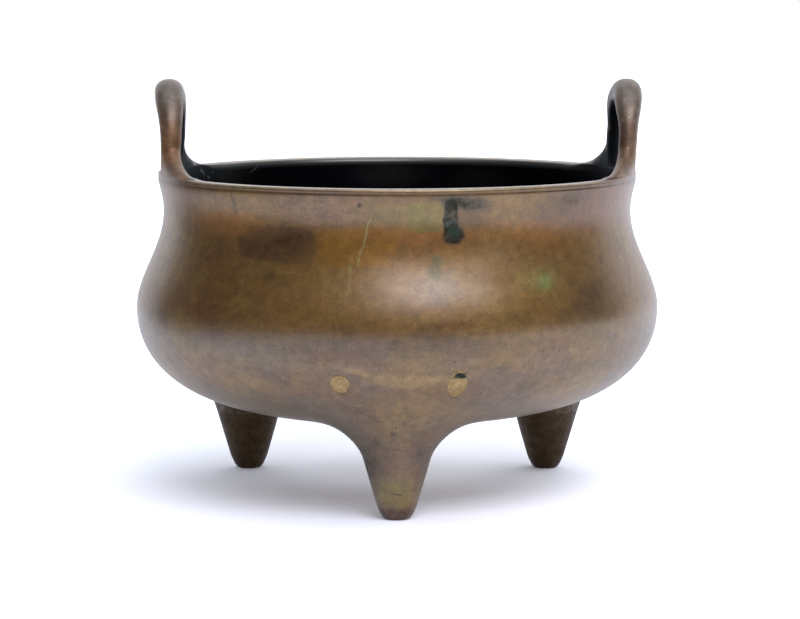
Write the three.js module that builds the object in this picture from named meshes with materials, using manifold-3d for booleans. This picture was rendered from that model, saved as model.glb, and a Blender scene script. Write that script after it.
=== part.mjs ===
// Tripod censer of cast bronze, an incense burner about 24 cm across.
// A squat bowl with a drawn-in neck and a banded rim carries two upright loop handles.
// Three conical feet stand under it, each on a root that swells out of the belly.
// Two small metal spacers, which held the core while the bowl was cast, show in the
// lower wall as ovals of a paler metal.
// The origin is on the floor under the middle of the bowl and +Z is up.
// The front foot is towards -Y, and the handles stand at the two sides.

import * as THREE from 'three';
import { mergeVertices } from 'three/addons/utils/BufferGeometryUtils.js';
import Module from 'manifold-3d';

const wasm = await Module();
wasm.setup();

// Bowl, in millimetres
const bellyRadius = 119.8;
const bellyHeight = 83.9;
const throatRadius = 107;
const throatHeight = 128.6;
const baseRadius = 50;
const baseHeight = 37.1;
const wallThickness = 5;

// Rim of the bowl: a band over a shallow groove
const rimRadius = 109.3;
const rimHeight = 145.6;
const rimWidth = 8;
const bandHeight = 2.4;
const grooveHeight = 0.8;
const grooveDepth = 0.5;
const rimRounding = 0.8;

// How far each curve of the bowl's outline keeps to the direction of its ends,
// as shares of its reach and of its rise
const lowerWallShares = { base: 0.539, belly: 0.671 };
const shoulderShares = { belly: 0.321, throat: 0.387 };
const neckShares = { throat: 0.45, groove: 0.15 };

// Feet, which stand evenly round the bowl with their axes this far in from the belly's
// widest circle, and the roots that join them to the belly
const footInset = 37.5;
const frontFootAngle = -90;
const footNames = ['front_foot', 'rear_right_foot', 'rear_left_foot'];
const footTopRadius = 14.8;
const footTopHeight = 28;
const ankleRadius = 8.3;
const ankleHeight = 5;
const soleRadius = 4.8;
const soleRoundingShare = 0.62;
const rootReachSide = 50;
const rootReachOut = 30;
const rootSink = 0.6;
const rootExponentSide = 3.95;
const rootExponentOut = 2.2;
const footTenonRadius = 8;
const footTenonLength = 7;
const footTenonChamfer = 1;

// Handles: a pair set a little round from the feet and a little to one side
const handleHeight = 42;
const handleSpan = 46;
const handleTurn = 2.4;
const handleShift = 0.7;
const strandWidth = 11;
const strandDepth = 9.6;
const crownThickness = 12;
const crownDepth = 12.6;
const crownInset = 0.6;
const crownSwellStart = 18;
const crownSwellEnd = 35;
const flareReach = 58;
const flareHeight = 13;
const innerFillet = 8;
const handleEdgeDepth = 4.4;
const handleEdgeInset = 3.6;
const barSkirt = 14.4;
const openingSkirt = 3.6;
const flareShares = { tip: 0.42, strand: 0.5 };
const handleTenonThickness = 3.4;
const handleTenonWidth = 9;
const handleTenonLength = 5;

// Spacers in the lower wall, set side by side over the front foot
const spacerHeight = 63;
const spacerWidth = 8.5;
const leftSpacerAngle = -102.1;
const leftSpacerLength = 10.4;
const rightSpacerAngle = -77.1;
const rightSpacerLength = 15.5;

// Shared by all joints and cuts
const jointClearance = 0.3;
const cutOverrun = 4;
const weldTolerance = 0.0005;

// How finely the round shapes are divided
const bowlSegments = 64;
const lowerWallSteps = 10;
const shoulderSteps = 8;
const neckSteps = 4;
const innerLowerSteps = 7;
const innerShoulderSteps = 5;
const roundingSteps = 2;
const outlineSamples = 200;
const footSegments = 28;
const rootSteps = 9;
const rootCoverSteps = 3;
const archSteps = 10;
const flareSteps = 7;
const filletSteps = 4;
const bendSteps = 14;
const spacerSegments = 24;

const bronze = new THREE.MeshStandardMaterial({ color: 0x7d6246, roughness: 0.38, metalness: 0.85 });
const redBronze = new THREE.MeshStandardMaterial({ color: 0x7b5a48, roughness: 0.4, metalness: 0.85 });
const paleBrass = new THREE.MeshStandardMaterial({ color: 0xa8935f, roughness: 0.42, metalness: 0.8 });

// A closed solid from a three.js geometry, without the flat triangles at its poles
function toSolid(geometry) {
  const bare = geometry.clone();
  bare.deleteAttribute('normal');
  bare.deleteAttribute('uv');
  const merged = mergeVertices(bare, weldTolerance);
  const corners = merged.index.array;
  const triangles = [];
  for (let i = 0; i < corners.length; i += 3) {
    const [a, b, c] = corners.slice(i, i + 3);
    if (a !== b && b !== c && c !== a) {
      triangles.push(a, b, c);
    }
  }
  return new wasm.Manifold(new wasm.Mesh({
    numProp: 3,
    vertProperties: merged.attributes.position.array,
    triVerts: new Uint32Array(triangles),
  }));
}

function toMesh(name, solid, material) {
  const { vertProperties, triVerts } = solid.getMesh();
  const geometry = new THREE.BufferGeometry();
  geometry.setAttribute('position', new THREE.BufferAttribute(vertProperties, 3));
  geometry.setIndex(new THREE.BufferAttribute(triVerts, 1));
  geometry.computeVertexNormals();
  const mesh = new THREE.Mesh(geometry, material.clone());
  mesh.name = name;
  return mesh;
}

// A body turned about the Z axis from an outline of (radius, height) points
function turned(outline, segments) {
  return new THREE.LatheGeometry(outline, segments).rotateX(Math.PI / 2);
}

function point(x, y) {
  return new THREE.Vector2(x, y);
}

function curve(start, startHandle, endHandle, end) {
  return new THREE.CubicBezierCurve(start, startHandle, endHandle, end);
}

function degrees(angle) {
  return THREE.MathUtils.degToRad(angle);
}

// Outline of the bowl from the flat base out to the belly
const lowerReach = bellyRadius - baseRadius;
const lowerRise = bellyHeight - baseHeight;
const lowerWall = curve(
  point(baseRadius, baseHeight),
  point(baseRadius + lowerReach * lowerWallShares.base, baseHeight),
  point(bellyRadius, bellyHeight - lowerRise * lowerWallShares.belly),
  point(bellyRadius, bellyHeight),
);

// Outline from the belly in to the throat, the narrowest part of the neck
const shoulderRise = throatHeight - bellyHeight;
const shoulder = curve(
  point(bellyRadius, bellyHeight),
  point(bellyRadius, bellyHeight + shoulderRise * shoulderShares.belly),
  point(throatRadius, throatHeight - shoulderRise * shoulderShares.throat),
  point(throatRadius, throatHeight),
);

// Outline from the throat up to the groove under the rim's band
const bandBottom = rimHeight - bandHeight;
const grooveBottom = bandBottom - grooveHeight;
const neckRise = grooveBottom - throatHeight;
const neck = curve(
  point(throatRadius, throatHeight),
  point(throatRadius, throatHeight + neckRise * neckShares.throat),
  point(rimRadius, grooveBottom - neckRise * neckShares.groove),
  point(rimRadius, grooveBottom),
);

// A quarter circle of the rim's rounding, from one angle to the next
function roundedCorner(centreRadius, startAngle, endAngle) {
  const arc = new THREE.EllipseCurve(
    centreRadius, rimHeight - rimRounding, rimRounding, rimRounding, startAngle, endAngle,
  );
  return arc.getPoints(roundingSteps);
}

// The outline moved inwards by the wall's thickness, square to itself
function innerWall(outline, steps) {
  const inner = [];
  for (let i = 0; i <= steps; i += 1) {
    const share = i / steps;
    const at = outline.getPoint(share);
    const along = outline.getTangent(share);
    inner.push(point(at.x - along.y * wallThickness, at.y + along.x * wallThickness));
  }
  return inner;
}

function bowlOutline() {
  const innerRimRadius = rimRadius - rimWidth;
  const outside = [
    ...lowerWall.getPoints(lowerWallSteps),
    ...shoulder.getPoints(shoulderSteps).slice(1),
    ...neck.getPoints(neckSteps).slice(1),
    point(rimRadius - grooveDepth, grooveBottom + grooveHeight / 2),
    point(rimRadius, bandBottom),
    ...roundedCorner(rimRadius - rimRounding, 0, Math.PI / 2),
    ...roundedCorner(innerRimRadius + rimRounding, Math.PI / 2, Math.PI),
  ];
  const inside = [
    ...innerWall(lowerWall, innerLowerSteps),
    ...innerWall(shoulder, innerShoulderSteps).slice(1),
  ].reverse();
  return [
    point(0, baseHeight),
    ...outside,
    ...inside,
    point(0, baseHeight + wallThickness),
  ];
}

// Height of the bowl's underside at a distance from its middle
const undersideSamples = lowerWall.getPoints(outlineSamples);

function undersideHeight(radius) {
  if (radius <= baseRadius) {
    return baseHeight;
  }
  const next = undersideSamples.findIndex((sample) => sample.x > radius);
  if (next < 1) {
    return bellyHeight;
  }
  const low = undersideSamples[next - 1];
  const high = undersideSamples[next];
  return low.y + (high.y - low.y) * (radius - low.x) / (high.x - low.x);
}

const footCircleRadius = bellyRadius - footInset;

// The root of a foot swells out of the belly round the foot's own axis.
// It reaches far along the belly to the sides and inwards, and less far outwards,
// where the wall soon turns up. Level 0 is its underside, and level 1 its top,
// which lies inside the bowl's wall.
function rootPoint(ring, direction, level) {
  const outward = Math.max(0, Math.cos(direction));
  const turn = outward * outward * (3 - 2 * outward);
  const reach = rootReachSide + (rootReachOut - rootReachSide) * turn;
  const exponent = rootExponentSide + (rootExponentOut - rootExponentSide) * turn;
  const beyond = THREE.MathUtils.clamp(ring - 1, 0, 1);
  const distance = footTopRadius * Math.min(1, ring) + (reach - footTopRadius) * beyond;
  const x = footCircleRadius + distance * Math.cos(direction);
  const y = distance * Math.sin(direction);
  const belly = undersideHeight(Math.hypot(x, y));
  if (level > 0) {
    return new THREE.Vector3(x, y, belly + wallThickness / 2);
  }
  if (ring <= 1) {
    return new THREE.Vector3(x, y, footTopHeight);
  }
  const edgeX = footCircleRadius + footTopRadius * Math.cos(direction);
  const edgeY = footTopRadius * Math.sin(direction);
  const drop = undersideHeight(Math.hypot(edgeX, edgeY)) - footTopHeight;
  const z = belly - drop * (1 - beyond) ** exponent + rootSink * beyond * beyond;
  return new THREE.Vector3(x, y, z);
}

function footRoot(angle) {
  const outline = [point(0, 0)];
  for (let i = 0; i <= rootSteps; i += 1) {
    outline.push(point(1 + i / rootSteps, 0));
  }
  for (let i = rootCoverSteps; i >= 0; i -= 1) {
    outline.push(point(2 * i / rootCoverSteps, 1));
  }
  const geometry = turned(outline, footSegments);
  const position = geometry.attributes.position;
  for (let i = 0; i < position.count; i += 1) {
    const x = position.getX(i);
    const y = position.getY(i);
    const level = Math.round(position.getZ(i));
    const at = rootPoint(Math.hypot(x, y), Math.atan2(y, x), level);
    position.setXYZ(i, at.x, at.y, at.z);
  }
  return toSolid(geometry.rotateZ(angle));
}

// A foot: a rounded sole, a straight cone, a flat top and a tenon that enters the root
function footGeometry() {
  const soleCurve = new THREE.QuadraticBezierCurve(
    point(soleRadius, 0),
    point(soleRadius + (ankleRadius - soleRadius) * soleRoundingShare, 0),
    point(ankleRadius, ankleHeight),
  );
  const tenonTop = footTopHeight + footTenonLength;
  const outline = [
    point(0, 0),
    ...soleCurve.getPoints(roundingSteps),
    point(footTopRadius, footTopHeight),
    point(footTenonRadius, footTopHeight),
    point(footTenonRadius, tenonTop - footTenonChamfer),
    point(footTenonRadius - footTenonChamfer, tenonTop),
    point(0, tenonTop),
  ];
  return turned(outline, footSegments);
}

// The hole in a root for a foot's tenon
function footSocket(angle) {
  const radius = footTenonRadius + jointClearance;
  const top = footTopHeight + footTenonLength + jointClearance;
  const outline = [
    point(0, footTopHeight - cutOverrun),
    point(radius, footTopHeight - cutOverrun),
    point(radius, top),
    point(0, top),
  ];
  const geometry = turned(outline, footSegments).translate(footCircleRadius, 0, 0);
  return toSolid(geometry.rotateZ(angle));
}

// One side of a handle's outer edge, from under the tip of its flare up to the crown,
// as seen from the middle of the bowl: across is along the rim, and height is over it
function handleOuterSide() {
  const strandEdge = (handleSpan + strandWidth) / 2;
  const flare = curve(
    point(flareReach, 0),
    point(flareReach - (flareReach - strandEdge) * flareShares.tip, 0),
    point(strandEdge, flareHeight * flareShares.strand),
    point(strandEdge, flareHeight),
  );
  const arch = new THREE.EllipseCurve(
    0, flareHeight, strandEdge, handleHeight - flareHeight, 0, Math.PI / 2,
  );
  return [...flare.getPoints(flareSteps), ...arch.getPoints(archSteps).slice(1)];
}

// One side of the finger opening, from the rim up to the middle of the arch
function handleInnerSide() {
  const strandEdge = (handleSpan - strandWidth) / 2;
  const fillet = new THREE.EllipseCurve(
    strandEdge - innerFillet, innerFillet, innerFillet, innerFillet, -Math.PI / 2, 0,
  );
  const arch = new THREE.EllipseCurve(
    0, flareHeight, strandEdge, handleHeight - crownThickness - flareHeight, 0, Math.PI / 2,
  );
  return [...fillet.getPoints(filletSteps), ...arch.getPoints(archSteps)];
}

// Both sides of an edge, joined into one outline that closes this far below the rim
function mirroredOutline(side, skirt) {
  const reach = side[0].x;
  const outline = [];
  for (let i = 0; i <= bendSteps; i += 1) {
    outline.push(point(reach * (2 * i / bendSteps - 1), -skirt));
  }
  const mirrored = side.slice(0, -1).reverse().map((at) => point(-at.x, at.y));
  return [...outline, ...side, ...mirrored];
}

// The bar is thicker over the crown, which leans in a little, and it narrows along its
// flares to the width of the rim that they run out on
function handleDepthAt(across, height) {
  const strandEdge = (handleSpan + strandWidth) / 2;
  const alongFlare = THREE.MathUtils.clamp(
    (Math.abs(across) - strandEdge) / (flareReach - strandEdge), 0, 1,
  );
  const rootDepth = THREE.MathUtils.lerp(strandDepth, rimWidth, alongFlare);
  const swell = THREE.MathUtils.smoothstep(height, crownSwellStart, crownSwellEnd);
  return {
    middle: rimRadius - rimWidth / 2 - crownInset * swell,
    depth: THREE.MathUtils.lerp(rootDepth, crownDepth, swell),
  };
}

function handleBar() {
  const shape = new THREE.Shape(mirroredOutline(handleOuterSide(), barSkirt));
  const opening = mirroredOutline(handleInnerSide(), openingSkirt);
  shape.holes.push(new THREE.Path(opening.reverse()));
  const geometry = new THREE.ExtrudeGeometry(shape, {
    depth: strandDepth - 2 * handleEdgeDepth,
    steps: 1,
    bevelEnabled: true,
    bevelThickness: handleEdgeDepth,
    bevelSize: handleEdgeInset,
    bevelOffset: -handleEdgeInset,
    bevelSegments: roundingSteps,
  });
  geometry.translate(0, 0, handleEdgeDepth - strandDepth / 2);
  const position = geometry.attributes.position;
  for (let i = 0; i < position.count; i += 1) {
    const across = position.getX(i);
    const height = position.getY(i);
    const { middle, depth } = handleDepthAt(across, height);
    const radius = middle + position.getZ(i) * depth / strandDepth;
    const turn = across / rimRadius;
    position.setXYZ(i, radius * Math.cos(turn), radius * Math.sin(turn), rimHeight + height);
  }
  return toSolid(geometry);
}

// A block under one strand of a handle, for its tenon or, with a clearance, its mortise.
// The angle turns it round the bowl's axis to where its handle stands.
function handleTenonBlock(side, clearance, angle) {
  const length = handleTenonLength + clearance + cutOverrun;
  const geometry = new THREE.BoxGeometry(
    handleTenonThickness + 2 * clearance,
    handleTenonWidth + 2 * clearance,
    length,
  );
  const bottom = rimHeight - handleTenonLength - clearance;
  geometry.translate(rimRadius - rimWidth / 2, 0, bottom + length / 2);
  return geometry.rotateZ(side * handleSpan / 2 / rimRadius + angle);
}

// Everything under the rim's top, to cut the handle's bar level with it
function belowRim() {
  const reach = rimRadius + crownDepth;
  const geometry = new THREE.BoxGeometry(2 * reach, 2 * reach, barSkirt + cutOverrun);
  return toSolid(geometry.translate(0, 0, rimHeight - (barSkirt + cutOverrun) / 2));
}

function handleSolid() {
  return handleBar()
    .subtract(belowRim())
    .add(toSolid(handleTenonBlock(-1, 0, 0)))
    .add(toSolid(handleTenonBlock(1, 0, 0)));
}

// An oval pin through the lower wall, square to its surface.
// The unit cylinder is scaled to the pin's width, to its depth and to its length.
function spacerPin(spacer, clearance) {
  const outline = lowerWall.getPoints(outlineSamples);
  const next = outline.findIndex((sample) => sample.y > spacerHeight);
  const slope = outline[next].clone().sub(outline[next - 1]).normalize();
  const direction = degrees(spacer.angle);
  const out = new THREE.Vector3(Math.cos(direction), Math.sin(direction), 0);
  const up = new THREE.Vector3(0, 0, 1);
  const along = out.clone().multiplyScalar(slope.x).addScaledVector(up, slope.y);
  const normal = out.clone().multiplyScalar(slope.y).addScaledVector(up, -slope.x);
  const across = new THREE.Vector3().crossVectors(normal, along);
  const geometry = new THREE.CylinderGeometry(1, 1, 1, spacerSegments);
  geometry.scale(
    spacerWidth / 2 + clearance,
    2 * (wallThickness + cutOverrun),
    spacer.length / 2 + clearance,
  );
  const place = new THREE.Matrix4().makeBasis(across, normal, along);
  place.setPosition(out.multiplyScalar(outline[next].x).addScaledVector(up, outline[next].y));
  return toSolid(geometry.applyMatrix4(place));
}

const footTurns = footNames.map((name, i) => degrees(frontFootAngle + 360 * i / footNames.length));
let casting = toSolid(turned(bowlOutline(), bowlSegments));
for (const angle of footTurns) {
  casting = casting.add(footRoot(angle));
}

const spacers = [
  { name: 'left_spacer', angle: leftSpacerAngle, length: leftSpacerLength },
  { name: 'right_spacer', angle: rightSpacerAngle, length: rightSpacerLength },
];
const spacerSolids = spacers.map((spacer) => casting.intersect(spacerPin(spacer, 0)));
const handleAngles = { right_handle: handleTurn, left_handle: 180 + handleTurn };

let bowl = casting;
for (const spacer of spacers) {
  bowl = bowl.subtract(spacerPin(spacer, jointClearance));
}
for (const angle of footTurns) {
  bowl = bowl.subtract(footSocket(angle));
}
for (const angle of Object.values(handleAngles)) {
  for (const side of [-1, 1]) {
    const mortise = handleTenonBlock(side, jointClearance, degrees(angle));
    bowl = bowl.subtract(toSolid(mortise.translate(handleShift, 0, 0)));
  }
}

const censer = new THREE.Group();
censer.name = 'tripod_censer';
censer.add(toMesh('bowl', bowl, bronze));

for (const [name, angle] of Object.entries(handleAngles)) {
  const handle = toMesh(name, handleSolid(), redBronze);
  handle.position.x = handleShift;
  handle.rotation.z = degrees(angle);
  censer.add(handle);
}

footNames.forEach((name, i) => {
  const angle = footTurns[i];
  const foot = toMesh(name, toSolid(footGeometry()), bronze);
  foot.position.set(footCircleRadius * Math.cos(angle), footCircleRadius * Math.sin(angle), 0);
  foot.rotation.z = angle;
  censer.add(foot);
});

spacers.forEach((spacer, i) => {
  censer.add(toMesh(spacer.name, spacerSolids[i], paleBrass));
});

export default censer;
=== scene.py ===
"""The looks of a cast bronze tripod censer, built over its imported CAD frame.
"""

import bisect
import math
from typing import NamedTuple

import bmesh
import bpy
from bpy.props import FloatProperty, FloatVectorProperty, PointerProperty
from mathutils import Matrix, Vector
from mathutils.geometry import interpolate_bezier


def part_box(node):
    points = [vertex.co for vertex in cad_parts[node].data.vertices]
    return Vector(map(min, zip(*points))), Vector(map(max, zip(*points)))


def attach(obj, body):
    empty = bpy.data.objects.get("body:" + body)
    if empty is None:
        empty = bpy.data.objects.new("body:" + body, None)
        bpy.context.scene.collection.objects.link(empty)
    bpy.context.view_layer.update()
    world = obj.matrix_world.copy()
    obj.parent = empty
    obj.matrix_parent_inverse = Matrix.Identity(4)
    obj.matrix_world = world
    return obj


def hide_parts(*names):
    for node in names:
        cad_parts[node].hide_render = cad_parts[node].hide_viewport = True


bl_info = {
    "name": "Tripod Censer",
    "version": (1, 0, 0),
    "blender": (4, 5, 0),
    "location": "View3D > Sidebar > Censer",
    "description": "Builds the looks of a cast bronze tripod censer over its CAD frame",
    "category": "Object",
}

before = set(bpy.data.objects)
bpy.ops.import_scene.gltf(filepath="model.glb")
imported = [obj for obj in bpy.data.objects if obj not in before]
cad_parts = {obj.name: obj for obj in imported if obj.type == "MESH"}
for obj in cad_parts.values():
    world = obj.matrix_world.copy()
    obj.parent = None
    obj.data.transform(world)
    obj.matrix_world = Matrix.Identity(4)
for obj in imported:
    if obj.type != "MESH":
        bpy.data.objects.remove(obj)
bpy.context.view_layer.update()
BOWL_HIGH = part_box("bowl")[1]
HANDLE_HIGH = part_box("right_handle")[1]

MM = 0.001

# The skin stays this far inside the frame's box, so that rounding can't put it outside
SKIN_GAP = 0.01 * MM

# Bowl
BELLY_RADIUS = BOWL_HIGH.x - SKIN_GAP
BELLY_HEIGHT = 83.9 * MM
THROAT_RADIUS = 107 * MM
THROAT_HEIGHT = 128.6 * MM
BASE_RADIUS = 50 * MM
BASE_HEIGHT = 37.1 * MM
# How far the handles of each curve of the outline reach, at its lower and its upper end
LOWER_SHARES = (0.539, 0.671)
SHOULDER_SHARES = (0.321, 0.387)
NECK_SHARES = (0.45, 0.15)

# Rim: a rounded lip over a shallow groove, both lost where the handles stand on it. A little
# rounding is left there, so that no two points of the outline fall together
RIM_RADIUS = 109.3 * MM
RIM_WIDTH = 8 * MM
INNER_RIM = RIM_RADIUS - RIM_WIDTH
BAND_HEIGHT = 1.7 * MM
GROOVE_HEIGHT = 1.5 * MM
GROOVE_BOTTOM = BOWL_HIGH.z - BAND_HEIGHT - GROOVE_HEIGHT
GROOVE_DEPTH = 0.13 * MM
OUTER_ROUNDING = 1.6 * MM
OUTER_LEAN = 1.1 * MM
INNER_ROUNDING = 3 * MM
ROUNDING_LEFT = 0.06
LIP_DROP = 0.4 * MM
# Along the rim from the middle of a handle: where the lip begins, and where it is whole
LIP_FADE = (46 * MM, 66 * MM)

# Feet and their roots
FOOT_CIRCLE = 82.3 * MM
FRONT_FOOT_ANGLE = -90
FOOT_NAMES = ("front_foot", "rear_right_foot", "rear_left_foot")
FOOT_TOP_RADIUS = 15.3 * MM
FOOT_TOP_HEIGHT = 28 * MM
ANKLE_RADIUS = 8.9 * MM
ANKLE_HEIGHT = 6.5 * MM
CONE_SLOPE = (FOOT_TOP_HEIGHT - ANKLE_HEIGHT) / (FOOT_TOP_RADIUS - ANKLE_RADIUS)
SOLE_RADIUS = 4.8 * MM
SOLE_ROUNDING_SHARE = 0.45
ROOT_REACH_SIDE = 50 * MM
ROOT_REACH_OUT = 30 * MM
ROOT_EXPONENT_SIDE = 3.75
ROOT_EXPONENT_OUT = 2.2
TENON_RADIUS = 8 * MM
TENON_LENGTH = 7 * MM
TENON_CHAMFER = 1 * MM
TENON_CLEARANCE = 0.3 * MM
JOIN_SOFTNESS = 2.2 * MM

# Part of the lower wall that is opened round each foot and woven in to its root
PATCH_HALF_ANGLE = 36
PATCH_INNER_RADIUS = 31 * MM
UNDERSIDE_MARGIN = 1.5 * MM

# Handles
HANDLE_TURN = 2.4
HANDLE_SHIFT = 0.7 * MM
HANDLE_SPAN = 46 * MM
STRAND_WIDTH = 11 * MM
STRAND_OUTER_EDGE = (HANDLE_SPAN + STRAND_WIDTH) / 2
STRAND_INNER_EDGE = (HANDLE_SPAN - STRAND_WIDTH) / 2
CROWN_THICKNESS = 12 * MM
CROWN_DEPTH = 12.6 * MM
CROWN_INSET = 0.6 * MM
CROWN_SWELL = (18 * MM, 35 * MM)
FLARE_REACH = 58 * MM
FLARE_HEIGHT = 13 * MM
STRAND_START = 22 * MM
INNER_FILLET = 8 * MM
EDGE_INSET = 5 * MM
PLATE_DEPTH = 10.6 * MM
HANDLE_SKIRT = 12 * MM
# Where the handles of the flare's curve stand: in from its tip, and up along the strand
FLARE_SHARES = (0.36, 0.64)
# How squarely a face looks along the plate's depth to count as its cap, or as flat
CAP_FACING = 0.9
FLAT_FACING = 0.999

# Spacers in the lower wall
SPACER_HEIGHT = 63 * MM
SPACER_WIDTH = 8.5 * MM
SPACER_PROUD = 0.03 * MM
SPACER_THICKNESS = 1.5 * MM
# Their names, directions and lengths
SPACERS = (("left_spacer", -102.1, 10.4 * MM), ("right_spacer", -77.1, 15.5 * MM))


class Stain(NamedTuple):
    """A spot in the patina: its place and half sizes in millimetres, how strong and how
    soft-edged it is, its lean in degrees, and whether it is nearly a rectangle."""
    colour: str
    at: tuple
    half: tuple
    strength: float = 1.0
    edge: float = 0.3
    turn: float = 0
    boxy: bool = False


class Cloud(NamedTuple):
    """Clouds of one colour: their grain in millimetres, the two levels of the noise between
    which they rise, their strength, and how they are squeezed along X, Y and Z."""
    colour: str
    grain: float
    low: float
    high: float
    strength: float = 1.0
    squeeze: tuple = (1, 1, 1)


STAINS = (
    # Shoulder, from left to right: amber glow, wedge, dark square, grey spot, ochre, scratch. The
    # gold field left of the middle, the grey spot and the wider grey field round it are partly a
    # painted highlight of the softbox
    Stain("amber", (-73, -77, 131), (13, 30, 4), 0.9, 0.8),
    Stain("umber", (-69.5, -83, 136.5), (1, 20, 5), turn=-19),
    Stain("dark_russet", (-51, -95, 121), (16.5, 30, 7.6), 0.66, 0.2, boxy=True),
    Stain("dark_russet", (-44, -97, 120), (11, 30, 7), 0.5, 0.6),
    Stain("umber", (-54, -97, 108.5), (3, 20, 3), 0.5, 0.6),
    # Gold, partly a painted highlight: the softbox's broad reflection spreading to the left
    Stain("gold", (-22, -110, 104), (28, 30, 14), 0.7, 0.9),
    Stain("gold", (40, -103, 106), (22, 30, 12), 0.5, 0.9),
    Stain("ochre", (-17.5, -107, 120.5), (16.5, 30, 8), 0.95, 0.25, boxy=True),
    Stain("amber", (8, -107, 126), (24, 30, 3.5), 0.7, 0.8),
    # A grey spot, partly a grey patch and partly a painted highlight, and a wider grey field that
    # paints the softbox's highlight paler
    Stain("mauve", (17, -112, 103.5), (8, 30, 6), 0.8, 0.7),
    Stain("mauve", (10, -112, 103), (28, 30, 10), 0.45, 0.9),
    Stain("umber", (-15.5, -107, 138.2), (0.9, 20, 1.2)),
    Stain("pale_green", (-14, -107, 123), (0.5, 20, 11), 0.8, turn=16),
    Stain("pale_green", (-20, -110, 108), (0.7, 20, 8), 0.4, 0.8, turn=10),
    # Neck: olive fields, green-black run with its arm, and the spots under it
    Stain("olive", (-3, -107, 135.5), (12, 30, 6), 0.4, 0.5),
    Stain("olive", (12, -107, 133.5), (8, 30, 6.5), 0.85, 0.25, boxy=True),
    Stain("gold", (46, -99, 138.5), (26, 30, 6), 0.6, 0.8),
    Stain("verdigris_black", (22.6, -104.5, 133.5), (3, 30, 7), 0.92, 0.25, boxy=True),
    Stain("verdigris_black", (23.6, -105, 125.6), (4.6, 30, 4.2), 0.95, 0.2),
    Stain("verdigris_black", (28.6, -102.5, 139.2), (11, 30, 3), 0.9, 0.5, turn=8),
    Stain("teal", (22.4, -104.5, 131), (2.4, 20, 0.9), 0.7, turn=-20),
    Stain("teal", (24.5, -105, 127), (2.4, 20, 2.8), 0.5, 0.7),
    Stain("grey_green", (17, -108, 115), (2.8, 20, 2.6), 0.8),
    Stain("grey_green", (15.3, -109, 110.5), (3.4, 20, 3.4), 0.75),
    # Right shoulder: amber field, green bloom in its pale halo, and dark mottling
    Stain("amber", (58, -90, 125), (18, 30, 6), 0.6, 0.8),
    Stain("tan", (42, -104, 116), (10, 30, 5), 0.4, 0.9),
    Stain("olive", (63, -94.5, 105), (6.5, 20, 5), 0.6, 0.8),
    Stain("leaf_green", (63, -94.5, 104.7), (3.2, 20, 3.2), 0.8, 0.6),
    Stain("olive", (73.5, -79, 137), (5.5, 20, 4.4), 0.8, 0.5),
    Stain("umber", (75, -78, 138), (3.6, 20, 2.8), 0.6, 0.9),
    Stain("verdigris_black", (75, -78, 138), (5, 20, 4), 0.35, 0.9),
    Stain("pale_green", (58, -97, 107), (9, 20, 5), 0.3, 0.9),
    Stain("grime_and_shade", (30, -103, 133), (7, 20, 4.5), 0.4, 0.7),
    Stain("tan", (-80, -72, 132.5), (21, 30, 7), 0.75, 0.8),
    Stain("amber", (-75, -77, 127.5), (17, 30, 4.5), 0.85, 0.8),
    # Painted shade over the right of the neck, which tones down the white it reflects
    Stain("dark_russet", (80, -72, 136), (27, 40, 8), 0.66, 0.7),
    # Round the bases of the handles, which nobody rubs
    Stain("russet", (-100, -40, 141), (20, 34, 11), 0.75, 0.5),
    Stain("russet", (100, -36, 141), (20, 34, 11), 0.75, 0.5),
    Stain("russet", (90, -60, 132), (18, 30, 9), 0.6, 0.8),
    # Lower wall, between the spacers. A wide dark band under the belly's widest line is a painted
    # reflection of the studio's unlit side, a dark patch low on the left is painted shade where
    # the wall reflects the shadowed paper, and a grey field on the left is a painted sheen
    Stain("brass", (2, -113, 64.5), (12, 20, 2.6), 0.55, 0.7),
    Stain("brass", (-14, -113, 68.5), (10, 20, 1.4), 0.45, 0.7, turn=12),
    Stain("brass", (16, -113, 66), (6, 20, 1.4), 0.45, 0.7),
    # Painted reflection: the dark band of the unlit studio carried lower
    Stain("umber", (-5, -110, 79.5), (75, 60, 4.5), 0.38, 0.9),
    Stain("umber", (85, -82, 92), (11, 30, 12), 0.5, 0.95),
    # Painted shade where the wall reflects the shadowed paper under the bowl
    Stain("umber", (-62, -80, 50), (26, 40, 6), 0.45, 0.8),
    Stain("tan", (68, -78, 52), (10, 30, 6), 0.5, 0.8),
    # Painted sheen: a cool grey over the lower left
    Stain("ash_and_sheen", (-75, -90, 74), (30, 40, 9), 0.25, 0.8),
    Stain("umber", (-26, -112, 84), (1.2, 20, 5), 0.45, 0.9),
    # Front foot: painted shade down its sides and on both sides of its root, where they reflect
    # the shadowed paper, then a pit, a smile mark, an olive band and a dark sole
    # Painted shade down the sides of the foot
    Stain("umber", (-14.5, -88, 20), (6.5, 30, 19), 0.9, 0.9, turn=17),
    Stain("umber", (14.5, -88, 20), (6, 30, 19), 0.7, 0.9, turn=-17),
    # Painted shade on the sides of the root
    Stain("umber", (-23, -95, 36), (9, 20, 8), 0.7, 0.9, turn=30),
    Stain("umber", (23, -95, 36), (9, 20, 8), 0.35, 0.9, turn=-30),
    Stain("umber", (-2, -105, 40.8), (1.5, 20, 1.2), 0.6, 0.4),
    Stain("olive", (-1, -98, 12), (9, 30, 7), 0.75, 0.6),
    Stain("umber", (0, -98, 12.2), (2.3, 20, 0.5), 0.8),
    Stain("dark_russet", (0, -82.3, 0), (16, 20, 6), 0.85, 0.25),
    # Roots of the rear feet: painted shade in the rear feet's black-brown, so that root and foot
    # meet without a seam
    Stain("black_brown", (71.3, 41.2, 16), (42, 42, 34), 0.95, 0.3),
    Stain("black_brown", (-71.3, 41.2, 16), (42, 42, 34), 0.95, 0.3),
)
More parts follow.
